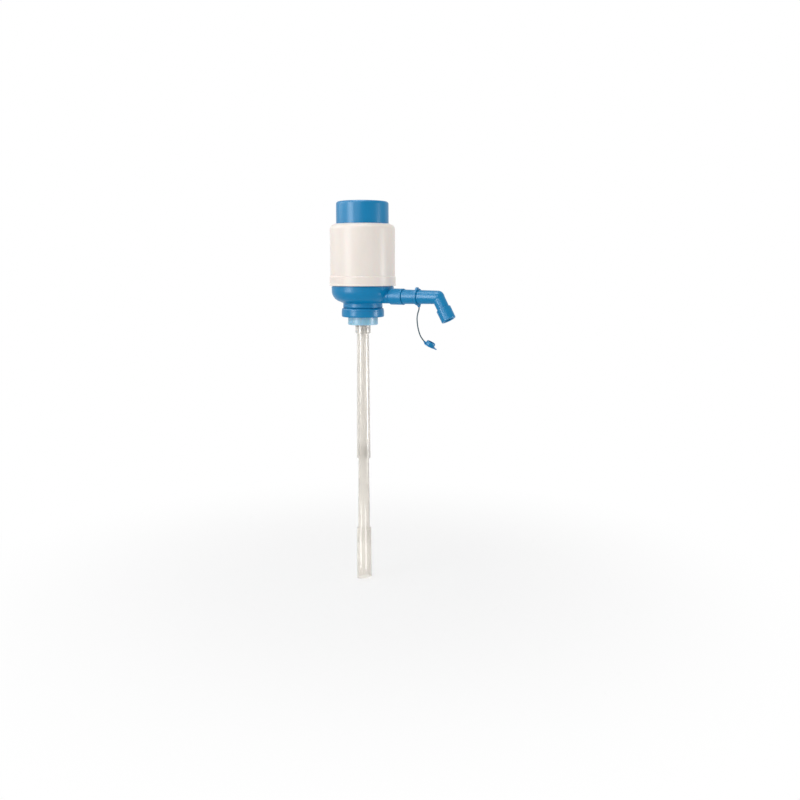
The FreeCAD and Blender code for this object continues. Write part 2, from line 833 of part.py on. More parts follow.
def make_tether_ring():
    """Flat ring round the spout with a lug on top and a gusset that runs into the strap."""
    body = new_body("tether_ring")
    lug_foot = dim.tether_radius - 1.2
    lug_top = dim.tether_radius + dim.lug_height
    lug = outline(body, "lug_outline", "YZ_Plane", [
        (-dim.lug_root / 2, lug_foot),
        (dim.lug_root / 2, lug_foot),
        (dim.lug_tip / 2, lug_top, 1.2),
        (-dim.lug_tip / 2, lug_top, 1.2),
    ])
    raised(body, "lug", lug, dim.tether_width, middle=True)
    root = dim.gusset_reach
    gusset_foot = -dim.tether_radius + 2.0
    gusset = outline(body, "gusset_outline", "YZ_Plane", [
        (-dim.gusset_root / 2, gusset_foot),
        (-dim.gusset_tip / 2, -root + 0.6, 2.5),
        (-dim.gusset_tip / 2, -root),
        (dim.gusset_tip / 2, -root),
        (dim.gusset_tip / 2, -root + 0.6, 2.5),
        (dim.gusset_root / 2, gusset_foot),
    ])
    raised(body, "gusset", gusset, dim.tether_width, middle=True)
    disc = circle_sketch(body, "ring_outline", "YZ_Plane", dim.tether_radius)
    raised(body, "ring_disc", disc, dim.tether_width, middle=True)
    hole = circle_sketch(body, "ring_bore_outline", "YZ_Plane", dim.tether_bore)
    cut_out(body, "ring_bore", hole, dim.tether_width + 1, middle=True)
    body.Placement.Rotation = FreeCAD.Rotation(FreeCAD.Vector(1, 0, 0), 1)
    body.setExpression("Placement.Rotation.Angle", dim.tether_lean.text)
    place_on_spout(body, dim.tether_reach, dim.spout_height)
    return body


def strap_points():
    reach = dim.tether_reach.value
    return [FreeCAD.Vector(reach + along, aside, height) for along, aside, height in STRAP_ROUTE]


def rounded_path(points):
    """Straight runs joined by tangent arcs, each arc as large as its two runs allow."""
    edges = []
    radii = []
    start = points[0]
    for i in range(1, len(points) - 1):
        back = points[i - 1] - points[i]
        ahead = points[i + 1] - points[i]
        turn = math.pi - back.getAngle(ahead)
        reach = 0.45 * min(back.Length, ahead.Length)
        radius = reach / math.tan(turn / 2)
        back.normalize()
        ahead.normalize()
        first = points[i] + back * reach
        last = points[i] + ahead * reach
        inward = (back + ahead).normalize()
        middle = points[i] + inward * (radius / math.cos(turn / 2) - radius)
        edges.append(Part.LineSegment(start, first).toShape())
        edges.append(Part.Arc(first, middle, last).toShape())
        radii.append(radius)
        start = last
    edges.append(Part.LineSegment(start, points[-1]).toShape())
    return Part.Wire(edges), radii


def make_strap():
    """Thin round strap from the ring's gusset to the plug's lug."""
    points = strap_points()
    path, radii = rounded_path(points)
    section = dim.strap_diameter.value / 2
    circle = Part.Circle(points[0], points[1] - points[0], section)
    tube = path.makePipeShell([Part.Wire([circle.toShape()])], True, True)
    strap = doc.addObject("Part::Feature", "tether_strap")
    strap.Label = "tether_strap"
    strap.Shape = tube
    strap.Placement = FreeCAD.Placement()
    print("strap radii:", [round(radius, 1) for radius in radii])
    print("strap length:", round(path.Length, 2))
    print("strap volume over section times length:",
          round(tube.Volume / (math.pi * section**2 * path.Length), 4))
    return strap


def make_plug():
    """Hollow plug on a flange, with a lug for the strap and a pull tab opposite."""
    body = new_body("nozzle_plug")
    cup = dim.plug_cup_radius
    top = dim.plug_cup_height
    base = -dim.plug_flange_thickness
    floor = -0.1
    profile = outline(body, "plug_profile", "XZ_Plane", [
        (0, base),
        (dim.plug_flange_radius, base, 0.3),
        (dim.plug_flange_radius, 0, 0.3),
        (cup, 0),
        (cup, top - dim.plug_cup_taper),
        (cup - 0.4, top),
        (cup - dim.plug_cup_wall, top),
        (cup - dim.plug_cup_wall, floor, 0.6),
        (0, floor),
    ])
    turned(body, "plug_cup", profile)
    tab_foot = dim.plug_flange_radius - 1.5
    tab_end = dim.plug_flange_radius + dim.tab_reach
    tab = outline(body, "pull_tab_outline", "XY_Plane", [
        (tab_foot, -2.4),
        (tab_end, -1.4, 0.9),
        (tab_end, 1.4, 0.9),
        (tab_foot, 2.4),
    ], offset=(0, 0, base))
    raised(body, "pull_tab", tab, dim.tab_thickness)
    turn = math.radians(dim.plug_turn.value)
    reach = dim.plug_reach.value
    place = FreeCAD.Placement(
        FreeCAD.Vector(
            dim.tether_reach.value + reach * math.cos(turn),
            reach * math.sin(turn),
            dim.plug_height.value,
        ),
        FreeCAD.Rotation(FreeCAD.Vector(0, 0, 1), dim.plug_turn.value)
        * FreeCAD.Rotation(FreeCAD.Vector(0, 1, 0), dim.plug_tilt.value),
    )
    before, end = [place.inverse().multVec(point) for point in strap_points()[-2:]]
    run = math.degrees(math.atan2(end.z - before.z, end.x - before.x))
    root = outline(body, "strap_root_outline", "XZ_Plane", box_outline(
        0, dim.strap_root_radius, 0, dim.strap_root_length,
    ), offset=(end.x, end.z, 0), turn=run - 90)
    turned(body, "strap_root", root)
    body.Placement = place
    return body


# ---------------------------------------------------------------- dip tube


def make_connector():
    """Pale coupling pushed over the riser, with a socket for the dip tube below."""
    body = new_body("tube_connector")
    riser = dim.riser_radius + 0.05
    stop = -dim.core_depth - 0.1
    profile = outline(body, "connector_profile", "XZ_Plane", [
        (riser, dim.connector_top),
        (dim.connector_radius - 0.3, dim.connector_top, 0.5),
        (dim.connector_radius, dim.connector_base, 0.6),
        (dim.tube_socket_radius + 0.05, dim.connector_base),
        (dim.tube_socket_radius, dim.tube_top + 0.1),
        (dim.riser_bore, dim.tube_top + 0.1),
        (dim.riser_bore, stop),
        (riser, stop),
    ])
    turned(body, "connector_ring", profile)
    return body


def make_upper_tube():
    body = new_body("dip_tube_upper")
    lap = dim.upper_tube_base + dim.middle_tube_lap
    profile = outline(body, "upper_tube_profile", "XZ_Plane", [
        (dim.upper_tube_top_bore, dim.tube_top),
        (dim.upper_tube_top_radius, dim.tube_top, 0.3),
        (dim.upper_tube_radius, dim.upper_tube_base, 0.4),
        (dim.upper_tube_bore + 0.05, dim.upper_tube_base),
        (dim.upper_tube_bore, lap + 1),
        (dim.upper_tube_bore, lap + dim.middle_tube_lap),
    ])
    turned(body, "upper_tube_wall", profile)
    return body


def make_middle_tube():
    body = new_body("dip_tube_middle")
    top = dim.upper_tube_base + dim.middle_tube_lap
    profile = outline(body, "middle_tube_profile", "XZ_Plane", [
        (dim.middle_tube_top_bore, top),
        (dim.middle_tube_top_radius, top, 0.3),
        (dim.middle_tube_neck_radius, dim.upper_tube_base),
        (dim.middle_tube_radius, dim.middle_tube_base, 0.3),
        (dim.middle_tube_bore, dim.middle_tube_base),
    ])
    turned(body, "middle_tube_wall", profile)
    return body


def make_lower_tube():
    """Widest length, with a stop inside its socket and a slanted end that stays off the floor."""
    body = new_body("dip_tube_lower")
    socket = dim.middle_tube_base - 0.3
    outer = dim.lower_tube_radius
    stop_base = socket - dim.lower_tube_stop_length
    profile = outline(body, "lower_tube_profile", "XZ_Plane", [
        (dim.lower_tube_socket_bore, dim.lower_tube_top),
        (outer, dim.lower_tube_top, 0.4),
        (outer, dim.lower_tube_base),
        (dim.lower_tube_bore, dim.lower_tube_base),
        (dim.lower_tube_bore, stop_base),
        (dim.lower_tube_stop_bore, stop_base + 1.4),
        (dim.lower_tube_stop_bore, socket),
        (dim.lower_tube_socket_bore - 0.02, socket),
    ])
    turned(body, "lower_tube_wall", profile)
    rise = 2 * outer * sine(dim.tube_end_slope) / cosine(dim.tube_end_slope)
    wedge = outline(body, "slanted_end_outline", "XZ_Plane", [
        (-outer - 1, dim.lower_tube_base - 1),
        (outer + 1, dim.lower_tube_base - 1),
        (outer + 1, dim.lower_tube_base + rise),
        (-outer - 1, dim.lower_tube_base),
    ])
    cut_out(body, "slanted_end", wedge, 4 * outer, middle=True)
    return body


# ---------------------------------------------------------------- bellows, spring and valves


def make_bellows():
    """Blow-moulded bellows with a flange at its foot and a port in its top."""
    body = new_body("bellows")
    folds = int(dim.bellows_fold_count.value)
    pitch = (dim.bellows_fold_end - dim.bellows_fold_start) / dim.bellows_fold_count
    foot = dim.plate_top
    wall = dim.bellows_wall
    valley = dim.bellows_valley_radius
    peak = dim.bellows_radius
    shoulder = dim.bellows_fold_end + 2.6
    outer = [(valley, dim.bellows_fold_start)]
    for fold in range(folds):
        crest = dim.bellows_fold_start + pitch * (fold + 0.5)
        outer.append((peak, crest))
        outer.append((valley, dim.bellows_fold_start + pitch * (fold + 1)))
    outer.append((peak - 1, shoulder))
    inner = [(radius - wall, height) for radius, height in reversed(outer)]
    port = dim.valve_body_radius + 0.3
    ceiling = dim.bellows_top - dim.bellows_skin
    corners = [
        (dim.plate_radius, foot),
        (dim.plate_radius, foot + dim.bellows_skin),
        (valley + 1.6, foot + dim.bellows_skin),
        *outer,
        (peak - 1, dim.bellows_top, 1.2),
        (port, dim.bellows_top),
        (port, ceiling),
        (peak - 1 - wall, ceiling),
        *inner,
        (valley - wall, foot),
    ]
    turned(body, "bellows_wall", outline(body, "bellows_profile", "XZ_Plane", corners))
    return body


def make_spring():
    """Round-wire compression spring round the plate's locating ring."""
    body = new_body("return_spring")
    wire = dim.spring_wire
    foot = dim.plate_top + wire / 2 + 0.1
    head = dim.bellows_top - dim.bellows_skin - wire / 2 - 0.1
    section = attach(body, "wire_section", "XZ_Plane", (0, foot, 0))
    circle = Part.Circle(
        FreeCAD.Vector(dim.spring_radius.value, 0, 0), FreeCAD.Vector(0, 0, 1), wire.value / 2
    )
    index = section.addGeometry(circle, False)
    place_point(section, index, 3, (dim.spring_radius, 0))
    bound = section.addConstraint(Sketcher.Constraint("Radius", index, wire.value / 2))
    section.setExpression(f"Constraints[{bound}]", (wire / 2).text)
    coil = body.newObject("PartDesign::AdditiveHelix", "spring_coil")
    coil.Profile = section
    coil.ReferenceAxis = (section, ["V_Axis"])
    coil.Mode = "height-turns-angle"
    coil.setExpression("Height", (head - foot).text)
    coil.setExpression("Turns", dim.spring_turns.text)
    return body


def make_plate():
    """Plate that closes the bowl, with a ring that locates the spring."""
    body = new_body("valve_plate")
    hole = dim.valve_body_radius + 0.1
    ring = dim.spring_radius - dim.spring_wire / 2 - 0.8
    ring_top = dim.plate_top + dim.spring_seat_height
    profile = outline(body, "plate_profile", "XZ_Plane", [
        (hole, dim.plate_base),
        (dim.plate_radius, dim.plate_base),
        (dim.plate_radius, dim.plate_top),
        (ring, dim.plate_top),
        (ring, ring_top, 0.4),
        (ring - dim.spring_seat_wall, ring_top, 0.4),
        (ring - dim.spring_seat_wall, dim.plate_top),
        (hole, dim.plate_top),
    ])
    turned(body, "plate_disc", profile)
    return body


def make_clamp_ring():
    """Ring that presses the bellows' flange down, with four notches to turn it by."""
    body = new_body("bellows_clamp_ring")
    foot = dim.plate_top + dim.bellows_skin
    top = foot + dim.clamp_height
    rim = dim.plate_radius + 0.2
    profile = outline(body, "clamp_profile", "XZ_Plane", [
        (dim.clamp_bore, foot),
        (rim, foot),
        (rim, top, 0.4),
        (dim.clamp_bore, top, 0.4),
    ])
    turned(body, "clamp_disc", profile)
    half = dim.clamp_notch_width / 2
    notch = outline(body, "notch_outline", "XY_Plane", box_outline(
        dim.clamp_bore - 0.6, dim.clamp_bore + 2.4, -half, half,
    ), offset=(0, 0, top))
    cut = cut_out(body, "notch", notch, dim.clamp_notch_depth)
    repeated(body, "notches", cut, dim.clamp_notch_count)
    return body


def make_gasket():
    body = new_body("base_gasket")
    profile = outline(body, "gasket_profile", "XZ_Plane", box_outline(
        dim.ledge_radius + 0.2, dim.plate_radius, dim.ledge_top, dim.plate_base,
    ))
    turned(body, "gasket_ring", profile)
    return body


def make_valve(name, seat):
    """Cage with a seat above its disc and a windowed floor below it; seat is its collar's foot."""
    cage = new_body(f"{name}_valve_cage")
    body_radius = dim.valve_body_radius
    seat_face = seat - dim.valve_seat_inset
    collar_top = seat + dim.valve_collar_height
    disc_base = seat_face - 0.05 - dim.valve_lift - dim.valve_disc_thickness
    floor_top = disc_base - 0.05
    floor = floor_top - dim.valve_floor
    profile = outline(cage, f"{name}_cage_profile", "XZ_Plane", [
        (dim.valve_port, seat_face),
        (dim.valve_port, collar_top),
        (dim.valve_collar_radius, collar_top, 0.3),
        (dim.valve_collar_radius, seat),
        (body_radius, seat),
        (body_radius, floor + 1.4),
        (body_radius - 0.4, floor),
        (0, floor),
        (0, floor_top),
        (dim.valve_bore, floor_top),
        (dim.valve_bore, seat_face),
    ])
    turned(cage, f"{name}_cage_shell", profile)
    half = dim.valve_window_width / 2
    window = outline(cage, f"{name}_window_outline", "XY_Plane", box_outline(
        dim.valve_window_inner, dim.valve_window_outer, -half, half,
    ), offset=(0, 0, floor_top))
    cut = cut_out(cage, f"{name}_window", window, dim.valve_floor + 1)
    repeated(cage, f"{name}_windows", cut, dim.valve_window_count)
    disc = new_body(f"{name}_valve_disc")
    lens = outline(disc, f"{name}_disc_profile", "XZ_Plane", [
        (0, disc_base),
        (dim.valve_disc_radius, disc_base, 0.3),
        (dim.valve_disc_radius, disc_base + dim.valve_disc_thickness, 0.3),
        (0, disc_base + dim.valve_disc_thickness),
    ])
    turned(disc, f"{name}_disc_shell", lens)
    return [cage, disc]


# ---------------------------------------------------------------- whole pump


def make_all():
    return [
        make_housing(),
        make_button(),
        make_base(),
        make_carrier(),
        make_elbow(),
        make_collar(),
        make_seal(),
        make_spout(),
        make_nozzle(),
        make_o_ring(),
        make_tether_ring(),
        make_strap(),
        make_plug(),
        make_connector(),
        make_upper_tube(),
        make_middle_tube(),
        make_lower_tube(),
        make_bellows(),
        make_spring(),
        make_plate(),
        make_clamp_ring(),
        make_gasket(),
        *make_valve("delivery", dim.plate_top),
        *make_valve("intake", dim.bellows_top + 0.1),
    ]


def check_all(parts):
    doc.recompute()
    for item in doc.Objects:
        if "Invalid" in item.State or "Error" in item.State:
            raise RuntimeError(f"{item.Name} did not build: {item.State}")
    for part in parts:
        if part.Shape.isNull() or not part.Shape.isValid():
            raise RuntimeError(f"{part.Label} has no valid shape")
        if len(part.Shape.Solids) != 1:
            raise RuntimeError(f"{part.Label} is {len(part.Shape.Solids)} solids")


def write_all(parts):
    os.makedirs("parts", exist_ok=True)
    for part in parts:
        part.Shape.exportStep(f"parts/{part.Label}.step")


parts = make_all()
check_all(parts)
write_all(parts)
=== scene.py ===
import json
import math

import bmesh
import bpy
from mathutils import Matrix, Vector


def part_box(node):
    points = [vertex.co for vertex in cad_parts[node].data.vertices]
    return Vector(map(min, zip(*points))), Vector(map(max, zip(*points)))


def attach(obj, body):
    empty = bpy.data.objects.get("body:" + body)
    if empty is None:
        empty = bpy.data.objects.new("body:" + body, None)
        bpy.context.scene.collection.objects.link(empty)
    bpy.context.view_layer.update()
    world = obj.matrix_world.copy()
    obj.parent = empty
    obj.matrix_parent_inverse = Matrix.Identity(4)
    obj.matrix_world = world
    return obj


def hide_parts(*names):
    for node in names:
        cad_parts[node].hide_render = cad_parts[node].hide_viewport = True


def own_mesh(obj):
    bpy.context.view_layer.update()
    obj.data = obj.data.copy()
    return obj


# Looks of the water jug hand pump: camera, strap, detailed pieces, finishes, stage and lights.
# The frame is the CAD model's: metres, origin at the bottle's rim, +Z up, the spout along +X.
# The pieces below are written in millimetres and turned into metres with MM.

MM = 0.001

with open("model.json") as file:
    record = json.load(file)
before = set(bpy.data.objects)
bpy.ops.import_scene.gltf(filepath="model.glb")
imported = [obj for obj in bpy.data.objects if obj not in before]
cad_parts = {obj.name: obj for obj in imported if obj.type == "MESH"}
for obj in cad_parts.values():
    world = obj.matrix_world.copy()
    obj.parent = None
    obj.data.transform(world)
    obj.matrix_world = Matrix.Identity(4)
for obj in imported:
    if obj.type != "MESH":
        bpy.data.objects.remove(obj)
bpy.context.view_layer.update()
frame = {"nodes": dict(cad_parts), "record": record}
nodes = frame["nodes"]


# ---------------------------------------------------------------- camera

CAMERA_AZIMUTH = math.radians(30)
CAMERA_DISTANCE = 1.1
CAMERA_HEIGHT = 0.0513
CAMERA_PITCH = math.radians(8.19)
CAMERA_LENS = 41.28
CAMERA_SENSOR = 36
AIM = Vector((0.0384, 0.0221, 0))


def make_camera():
    """The photograph's view: level distance, height and downward pitch, with no shift."""
    camera = bpy.data.objects.new("camera", bpy.data.cameras.new("camera"))
    bpy.context.scene.collection.objects.link(camera)
    back = Vector((math.sin(CAMERA_AZIMUTH), -math.cos(CAMERA_AZIMUTH), 0))
    camera.location = AIM + back * CAMERA_DISTANCE + Vector((0, 0, CAMERA_HEIGHT))
    camera.rotation_euler = (math.pi / 2 - CAMERA_PITCH, 0, CAMERA_AZIMUTH)
    camera.data.lens = CAMERA_LENS
    camera.data.sensor_width = CAMERA_SENSOR
    bpy.context.scene.camera = camera


# ---------------------------------------------------------------- tether strap

RING_REACH = 75
STRAP_DIAMETER = 1.5 * MM
# Along the spout from the ring, aside and up.
STRAP_ROUTE = [
    (0.0, 2.95, 7.2),
    (-0.2, 3.5, 4.4),
    (-1.1, 1.7, -0.4),
    (-1.2, 0.1, -5.8),
    (-0.7, -0.2, -11.4),
    (0.2, 0.0, -17.4),
    (1.6, 0.4, -23.1),
    (3.8, 1.05, -28.6),
    (7.3, 1.96, -32.7),
]


def make_strap():
    """The strap as one smooth curve from the ring's gusset to the plug.

    The bevel is 1 deep, so a point's radius is the strap's own."""
    curve = bpy.data.curves.new("strap", "CURVE")
    curve.dimensions = "3D"
    curve.bevel_depth = 1
    curve.bevel_resolution = 6
    curve.resolution_u = 16
    curve.use_fill_caps = True
    spline = curve.splines.new("NURBS")
    spline.points.add(len(STRAP_ROUTE) - 1)
    for point, (along, aside, up) in zip(spline.points, STRAP_ROUTE):
        point.co = ((RING_REACH + along) * MM, aside * MM, up * MM, 1)
        point.radius = STRAP_DIAMETER / 2
    spline.order_u = 3
    spline.use_endpoint_u = True
    strap = bpy.data.objects.new("strap", curve)
    bpy.context.scene.collection.objects.link(strap)
    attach(strap, "tether")
    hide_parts("tether_strap")
    return strap


# ---------------------------------------------------------------- mesh helpers

SHARP_ANGLE = math.radians(40)


def smooth_step(low, high, value):
    """0 up to low, 1 from high on, and a smooth ramp between them."""
    share = min(1.0, max(0.0, (value - low) / (high - low)))
    return share * share * (3 - 2 * share)


def make_piece(name, shape, body):
    """A mesh piece from a bmesh, smooth but for its sharp edges, riding on a body."""
    bmesh.ops.recalc_face_normals(shape, faces=shape.faces)
    mesh = bpy.data.meshes.new(name)
    shape.to_mesh(mesh)
    shape.free()
    for face in mesh.polygons:
        face.use_smooth = True
    mesh.set_sharp_from_angle(angle=SHARP_ANGLE)
    piece = bpy.data.objects.new(name, mesh)
    bpy.context.scene.collection.objects.link(piece)
    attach(piece, body)
    return piece


def turned_shape(profile, segments):
    """A closed profile of (radius, height), turned round the pump's axis."""
    shape = bmesh.new()
    rings = []
    for step in range(segments):
        turn = 2 * math.pi * step / segments
        across, aside = math.cos(turn), math.sin(turn)
        rings.append([
            shape.verts.new((radius * across * MM, radius * aside * MM, height * MM))
            for radius, height in profile
        ])
    for step in range(segments):
        here, beyond = rings[step], rings[(step + 1) % segments]
        for index in range(len(profile)):
            after = (index + 1) % len(profile)
            shape.faces.new((here[index], beyond[index], beyond[after], here[after]))
    return shape


def swept_shape(sections):
    """A tube through rings of points with the same count, closed at both ends."""
    shape = bmesh.new()
    rings = [[shape.verts.new(point) for point in section] for section in sections]
    for here, beyond in zip(rings, rings[1:]):
        for index in range(len(here)):
            after = (index + 1) % len(here)
            shape.faces.new((here[index], here[after], beyond[after], beyond[index]))
    shape.faces.new(rings[0])
    shape.faces.new(list(reversed(rings[-1])))
    return shape


# ---------------------------------------------------------------- bellows

BELLOWS_FOOT = 33.6
BELLOWS_TOP = 124.1


def shorten_with_button(piece):
    """Gives the piece its own copy of its mesh."""
    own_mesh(piece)


BELLOWS_FLANGE_RADIUS = 33.5
BELLOWS_SKIN = 0.9
BELLOWS_WALL = 1.1
BELLOWS_PORT = 8.8
BELLOWS_SEGMENTS = 112
FOLD_COUNT = 9
FOLD_START = 36.4
FOLD_END = 118.6
POINTS_PER_FOLD = 14
VALLEY_RADIUS = 21.5
CREST_RADIUS = 27.5
ROUNDED_SHARE = 0.55
CAP_RADIUS = 26.5
CAP_ROUNDING = 1.6
CAP_FOOT = FOLD_END + 2.8
CAP_GROOVE = 0.25


def folded_wall():
    """Radius and height up the folds, their crests and valleys rounded by blow moulding."""
    points = []
    for step in range(FOLD_COUNT * POINTS_PER_FOLD + 1):
        share = step / POINTS_PER_FOLD
        ramp = 1 - abs(2 * (share % 1) - 1)
        rounded = 0.5 - 0.5 * math.cos(math.pi * ramp)
        swell = (1 - ROUNDED_SHARE) * ramp + ROUNDED_SHARE * rounded
        height = FOLD_START + (FOLD_END - FOLD_START) * share / FOLD_COUNT
        points.append((VALLEY_RADIUS + (CREST_RADIUS - VALLEY_RADIUS) * swell, height))
    return points


def make_bellows():
    """Thin folded skin with a foot flange, a rounded cap and a groove round the cap's port."""
    wall = folded_wall()
    arc_radius = CAP_RADIUS - CAP_ROUNDING
    arc_height = BELLOWS_TOP - CAP_ROUNDING
    cap_arc = [
        (arc_radius + CAP_ROUNDING * math.cos(turn), arc_height + CAP_ROUNDING * math.sin(turn))
        for turn in map(math.radians, range(0, 91, 15))
    ]
    ceiling = BELLOWS_TOP - BELLOWS_SKIN
    outer = [
        (BELLOWS_FLANGE_RADIUS, BELLOWS_FOOT),
        (BELLOWS_FLANGE_RADIUS, BELLOWS_FOOT + 0.6),
        (BELLOWS_FLANGE_RADIUS - 0.3, BELLOWS_FOOT + BELLOWS_SKIN),
        (VALLEY_RADIUS + 2.4, BELLOWS_FOOT + BELLOWS_SKIN),
        (VALLEY_RADIUS + 0.9, BELLOWS_FOOT + 1.3),
        (VALLEY_RADIUS + 0.2, BELLOWS_FOOT + 2.0),
        *wall,
        (CAP_RADIUS - 1.2, FOLD_END + 1.7),
        (CAP_RADIUS, CAP_FOOT),
        *cap_arc,
        (BELLOWS_PORT + 2.6, BELLOWS_TOP),
        (BELLOWS_PORT + 2.2, BELLOWS_TOP - CAP_GROOVE),
        (BELLOWS_PORT + 1.2, BELLOWS_TOP - CAP_GROOVE),
        (BELLOWS_PORT + 0.8, BELLOWS_TOP),
        (BELLOWS_PORT, BELLOWS_TOP),
    ]
    inner = [
        (BELLOWS_PORT, ceiling),
        (CAP_RADIUS - BELLOWS_WALL - 0.8, ceiling),
        (CAP_RADIUS - BELLOWS_WALL, ceiling - 0.8),
        (CAP_RADIUS - BELLOWS_WALL, CAP_FOOT),
        *[(radius - BELLOWS_WALL, height) for radius, height in reversed(wall)],
        (VALLEY_RADIUS - BELLOWS_WALL, BELLOWS_FOOT),
    ]
    shape = turned_shape(outer + inner, BELLOWS_SEGMENTS)
    bellows = make_piece("folded_bellows", shape, "pump")
    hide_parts("bellows")
    shorten_with_button(bellows)
    return bellows


# ---------------------------------------------------------------- spring

COIL_RADIUS = 15.5
COIL_TURNS = 8
COIL_FOOT = 34.4
COIL_HEAD = 122.4
CLOSED_PITCH = 1.5
# Turns from an end over which the closed coil opens.
OPENING_TURNS = (0.7, 1.3)
STEPS_PER_TURN = 60
WIRE_RADIUS = 0.7
WIRE_SIDES = 14


def coil_heights(steps):
    """Height of each step along the wire, with a closed turn at each end."""
    opening = [
        smooth_step(*OPENING_TURNS, step / STEPS_PER_TURN)
        * smooth_step(*OPENING_TURNS, COIL_TURNS - step / STEPS_PER_TURN)
        for step in range(steps + 1)
    ]
    whole = sum(opening)
    spread = COIL_HEAD - COIL_FOOT - CLOSED_PITCH * COIL_TURNS
    heights = []
    opened = 0.0
    for step, share in enumerate(opening):
        opened += share
        rise = CLOSED_PITCH * step / STEPS_PER_TURN
        heights.append(COIL_FOOT + rise + spread * opened / whole)
    return heights


def make_spring():
    """Round-wire spring whose last turns lie flat against their neighbours."""
    steps = COIL_TURNS * STEPS_PER_TURN
    heights = coil_heights(steps)
    sections = []
    for step, height in enumerate(heights):
        turn = 2 * math.pi * step / STEPS_PER_TURN
        out = Vector((math.cos(turn), math.sin(turn), 0))
        section = []
        for side in range(WIRE_SIDES):
            around = 2 * math.pi * side / WIRE_SIDES
            radius = COIL_RADIUS + WIRE_RADIUS * math.cos(around)
            point = out * radius + Vector((0, 0, height + WIRE_RADIUS * math.sin(around)))
            section.append(point * MM)
        sections.append(section)
    spring = make_piece("coiled_spring", swept_shape(sections), "pump")
    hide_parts("return_spring")
    shorten_with_button(spring)
    return spring


# ---------------------------------------------------------------- collar's thread

THREAD_ROOT = 23.08
THREAD_HEIGHT = 0.85
THREAD_PITCH = 4.2
THREAD_FOOT = -5.5
THREAD_TURNS = 1.15
THREAD_STEPS_PER_TURN = 120
THREAD_FADE = 0.08
# What stays proud of the root where the thread has faded out.
THREAD_REST = 0.03
FLANK_SHARE = 0.82
ROOT_HALF_WIDTH = 0.95
FLANK_HALF_WIDTH = 0.45
CREST_HALF_WIDTH = 0.28


def make_thread():
    """Right-handed moulded thread inside the screw collar, fading out at both ends."""
    steps = int(THREAD_TURNS * THREAD_STEPS_PER_TURN)
    sections = []
    for step in range(steps + 1):
        share = step / steps
        proud = smooth_step(0, THREAD_FADE, share) * smooth_step(0, THREAD_FADE, 1 - share)
        turn = 2 * math.pi * THREAD_TURNS * share
        height = THREAD_FOOT + THREAD_PITCH * THREAD_TURNS * share
        crest = THREAD_ROOT - THREAD_REST - THREAD_HEIGHT * proud
        flank = THREAD_ROOT - THREAD_REST - FLANK_SHARE * THREAD_HEIGHT * proud
        outline = [
            (THREAD_ROOT, height - ROOT_HALF_WIDTH),
            (flank, height - FLANK_HALF_WIDTH),
            (crest, height - CREST_HALF_WIDTH),
            (crest, height + CREST_HALF_WIDTH),
            (flank, height + FLANK_HALF_WIDTH),
            (THREAD_ROOT, height + ROOT_HALF_WIDTH),
        ]
        sections.append([
            Vector((radius * math.cos(turn), radius * math.sin(turn), up)) * MM
            for radius, up in outline
        ])
    return make_piece("collar_thread", swept_shape(sections), "collar")


# ---------------------------------------------------------------- material nodes

BEVEL_SAMPLES = 4
# Cosine between the bevelled and the plain normal from which an edge is fully worn.
SHARP_COSINE = 0.86


